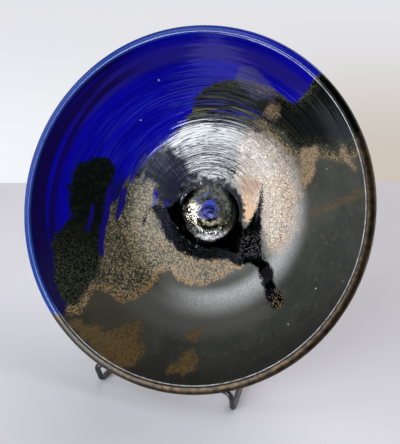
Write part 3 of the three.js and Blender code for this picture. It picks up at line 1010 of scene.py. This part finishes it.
def make_cross_bar(node, material, rise, back):
    half = upright_half_width(rise) + BAR_OVERHANG
    between = (back + UPRIGHT_BACK) / 2
    welds = [
        (leaning(side * upright_half_width(rise), rise + up * WELD_GAP, between), ACROSS)
        for side in (-1, 1)
        for up in (-1, 1)
    ]
    ends = [leaning(-half, rise, back), leaning(half, rise, back)]
    make_wire(node, "easel", material, [ends], welds)


def make_floor_tie_bar(material):
    half = CORNER_HALF_WIDTH + BAR_OVERHANG
    height = WIRE_RADIUS + WIRE_PITCH
    ends = [standing(side * half, TIE_BAR_BEHIND, height) for side in (-1, 1)]
    welds = [
        (standing(side * TIE_BAR_WELD, TIE_BAR_BEHIND + fore, height - WIRE_PITCH / 2), ACROSS)
        for side in (-1, 1)
        for fore in (-WELD_GAP, WELD_GAP)
    ]
    make_wire("floor_tie_bar", "easel", material, [ends], welds)


def make_prop(material):
    def leg_half_width(down):
        share = down / LEG_LENGTH
        return LEG_TOP_HALF_WIDTH + (LEG_FOOT_HALF_WIDTH - LEG_TOP_HALF_WIDTH) * share

    for name, side in (("prop_left_leg", -1), ("prop_right_leg", 1)):
        top = on_prop(side * leg_half_width(-LEG_OVERRUN), -LEG_OVERRUN, LEG_OFFSET)
        foot = on_prop(side * LEG_FOOT_HALF_WIDTH, LEG_LENGTH, LEG_OFFSET)
        make_wire(name, "prop", material, [[top, foot]])
    for name, side in (("left_hinge_loop", -1), ("right_hinge_loop", 1)):
        x = side * (LEG_TOP_HALF_WIDTH - WIRE_RADIUS - LOOP_WIRE_RADIUS - 2 * GAP)
        reach = LEG_OFFSET + WIRE_RADIUS
        r = HINGE_LOOP_RADIUS
        corners = [on_prop(x, *spot) for spot in ((-r, reach), (-r, -r), (r, -r), (r, reach))]
        along = (corners[0] - corners[1]).normalized()
        beside = x + side * WELD_GAP
        welds = [(on_prop(beside, down, LEG_OFFSET), along) for down in (-r, r)]
        make_wire(name, "prop", material, [corners], welds, LOOP_WIRE_RADIUS, LOOP_BEND_RADIUS)
    half = upright_half_width(HINGE_RISE - PROP_CROSS_BAR_DROP) + PROP_BAR_OVERHANG
    behind = LEG_OFFSET - WIRE_PITCH
    ends = [on_prop(side * half, PROP_CROSS_BAR_DROP, behind) for side in (-1, 1)]
    crossing = leg_half_width(PROP_CROSS_BAR_DROP)
    welds = [
        (on_prop(side * crossing, PROP_CROSS_BAR_DROP + down, WIRE_PITCH / 2), ACROSS)
        for side in (-1, 1)
        for down in (-WELD_GAP, WELD_GAP)
    ]
    make_wire("prop_cross_bar", "prop", material, [ends], welds)
    foot = on_prop(0, LEG_LENGTH, LEG_OFFSET)
    half = LEG_FOOT_HALF_WIDTH + PROP_BAR_OVERHANG
    y = foot.y / MM + WIRE_PITCH
    ends = [Vector((side * half, y, WIRE_RADIUS)) * MM for side in (-1, 1)]
    welds = [
        (Vector((side * LEG_FOOT_HALF_WIDTH, y - WIRE_PITCH / 2, height)) * MM, ACROSS)
        for side in (-1, 1)
        for height in (3.4, 5.4)
    ]
    make_wire("prop_floor_bar", "prop", material, [ends], welds)


def paint_material():
    g = Graph(bpy.data.materials.new("black_paint"))
    place = g.node("ShaderNodeTexCoord").outputs["Object"]
    film = g.noise(place, 0.010, 3)
    peel = g.noise(place, 0.0011, 2)
    rub = g.step(g.noise(place, 0.0035, 4, 0.7), 0.66, 0.72)
    colour = g.mix(g.step(film, 0.3, 0.7), (0.0055, 0.0058, 0.0065), (0.012, 0.012, 0.013))
    colour = g.mix(g.times(rub, 0.5), colour, (0.045, 0.043, 0.041))
    roughness = g.plus(g.scaled(film, 0.3, 0.7, 0.30, 0.42), g.times(rub, 0.12))
    normal = g.bump(g.plus(g.times(peel, 0.05), g.times(film, 0.1)), MM)
    return g.finish({"IOR": 1.5}, Base_Color=colour, Roughness=roughness, Normal=normal)


def make_easel(material):
    for name, side in (("left_side_wire", -1), ("right_side_wire", 1)):
        make_wire(name, "easel", material, [side_wire_corners(side)])
    ledge_rise = -(FOOT_RADIUS + GAP + WIRE_RADIUS)
    top_rise = HINGE_RISE + (HINGE_BACK - FRONT_BAR_BACK) / math.tan(PROP_SPREAD)
    make_cross_bar("ledge_bar", material, ledge_rise, FRONT_BAR_BACK)
    make_cross_bar("hinge_bar", material, HINGE_RISE, HINGE_BACK)
    make_cross_bar("top_bar", material, top_rise, FRONT_BAR_BACK)
    make_floor_tie_bar(material)
    make_prop(material)


# Studio

VIEW_AZIMUTH = math.radians(20.14)
VIEW_ELEVATION = math.radians(22.76)
VIEW_DISTANCE = 0.6763
VIEW_RIGHT = 0.0148
VIEW_DOWN = 0.0151
LENS = 63
LIGHT_DISTANCE = 1.7
WINDOW_PANES = ((-34, -24.2), (-22.8, -18.2), (-16.8, 1.5))
WINDOW_LOW, WINDOW_HIGH = -17, 25.5
WINDOW_RADIANCE = 11.0
TABLE_CORNERS = [(-0.24, -0.18), (0.42, -0.18), (0.60, 0.585), (-0.40, 0.575)]
TABLE_THICKNESS = 0.03


def towards(azimuth, elevation):
    """The direction from the bowl towards a place round it. Azimuth 0 is the bowl's front."""
    return Vector((
        math.sin(azimuth) * math.cos(elevation),
        -math.cos(azimuth) * math.cos(elevation),
        math.sin(elevation),
    ))


def aim(thing, place, direction):
    thing.location = place
    thing.rotation_mode = "QUATERNION"
    thing.rotation_quaternion = direction.to_track_quat("-Z", "Y")


def make_camera():
    back = towards(VIEW_AZIMUTH, VIEW_ELEVATION)
    right = Vector((math.cos(VIEW_AZIMUTH), math.sin(VIEW_AZIMUTH), 0))
    upward = back.cross(right)
    data = bpy.data.cameras.new("camera")
    data.sensor_width = 36
    data.sensor_fit = "HORIZONTAL"
    data.lens = LENS
    data.clip_start = 0.02
    camera = bpy.data.objects.new("camera", data)
    place = RIM_CENTRE + back * VIEW_DISTANCE + right * VIEW_RIGHT - upward * VIEW_DOWN
    aim(camera, place, -back)
    bpy.context.scene.collection.objects.link(camera)
    bpy.context.scene.camera = camera


def make_light(name, left, right, low, high, radiance, colour):
    """A rectangular light that spans angles in degrees as seen from the bowl."""
    azimuth, elevation = math.radians((left + right) / 2), math.radians((low + high) / 2)
    width = 2 * LIGHT_DISTANCE * math.tan(math.radians(abs(right - left) / 2))
    data = bpy.data.lights.new(name, "AREA")
    data.shape = "RECTANGLE"
    data.size = width * math.cos(elevation)
    data.size_y = 2 * LIGHT_DISTANCE * math.tan(math.radians((high - low) / 2))
    data.energy = radiance * math.pi * data.size * data.size_y
    data.color = colour
    light = bpy.data.objects.new(name, data)
    way = towards(azimuth, elevation)
    aim(light, RIM_CENTRE + way * LIGHT_DISTANCE, -way)
    bpy.context.scene.collection.objects.link(light)


def make_lights():
    for left, right in WINDOW_PANES:
        spans = (left, right, WINDOW_LOW, WINDOW_HIGH)
        make_light("window_pane", *spans, WINDOW_RADIANCE, (0.92, 0.97, 1.0))
    make_light("high_window", -62, -18, 45, 68, 1.5, (1.0, 0.98, 0.96))
    make_light("side_window", -84, -50, 5, 42, 1.2, (1.0, 0.97, 0.95))


def make_world():
    """A dim room in front of the object, a bright one behind it, and a pale wall in view, painted
    lighter on its left and warmer and darker on its right as if lit from the left.
    """
    g = Graph(bpy.data.worlds.new("room"))
    direction = g.split(g.node("ShaderNodeTexCoord").outputs["Generated"])
    slanted = g.plus(g.times(direction["X"], 0.6), direction["Y"])
    room = g.mix(g.step(slanted, 0.15, 0.75), (0.03, 0.03, 0.033), (2.0, 1.97, 1.95))
    # Painted light: the wall in view is lighter on its left, where the light comes from.
    lit_left_share = g.fall(direction["X"], -0.62, -0.05)
    low_wall = g.mix(lit_left_share, (0.62, 0.56, 0.49), (0.90, 0.93, 0.97))
    wall = g.mix(g.step(direction["Z"], -0.30, -0.09), low_wall, (0.78, 0.78, 0.82))
    lit, seen = [g.node("ShaderNodeBackground", {"Color": c}).outputs[0] for c in (room, wall)]
    by_camera = g.node("ShaderNodeLightPath").outputs["Is Camera Ray"]
    both = g.node("ShaderNodeMixShader", {0: by_camera, 1: lit, 2: seen})
    g.node("ShaderNodeOutputWorld", {0: both.outputs[0]})
    bpy.context.scene.world = g.owner


def make_table():
    g = Graph(bpy.data.materials.new("table_top"))
    place = g.node("ShaderNodeTexCoord").outputs["Object"]
    cloud = g.noise(place, 0.25, 2)
    colour = g.mix(g.step(cloud, 0.3, 0.7), (0.76, 0.75, 0.82), (0.80, 0.79, 0.85))
    roughness = g.scaled(cloud, 0.3, 0.7, 0.5, 0.6)
    material = g.finish({"IOR": 1.4}, Base_Color=colour, Roughness=roughness)
    across = Vector((math.cos(VIEW_AZIMUTH), math.sin(VIEW_AZIMUTH), 0))
    behind = UP.cross(across)
    centre = Vector((0, RIM_CENTRE.y, 0))
    top = [centre + across * a + behind * b for a, b in TABLE_CORNERS]
    bottom = [place - UP * TABLE_THICKNESS for place in top]
    sides = [(k, k + 4, (k + 1) % 4 + 4, (k + 1) % 4) for k in range(4)]
    mesh = bpy.data.meshes.new("table_top")
    mesh.from_pydata(top + bottom, [], [(0, 1, 2, 3), (7, 6, 5, 4), *sides])
    table = bpy.data.objects.new("table_top", mesh)
    mesh.materials.append(material)
    bpy.context.scene.collection.objects.link(table)


bpy.context.scene.view_settings.view_transform = "Standard"
make_camera()
make_bowl(glaze_material())
make_easel(paint_material())
make_world()
make_lights()
make_table()
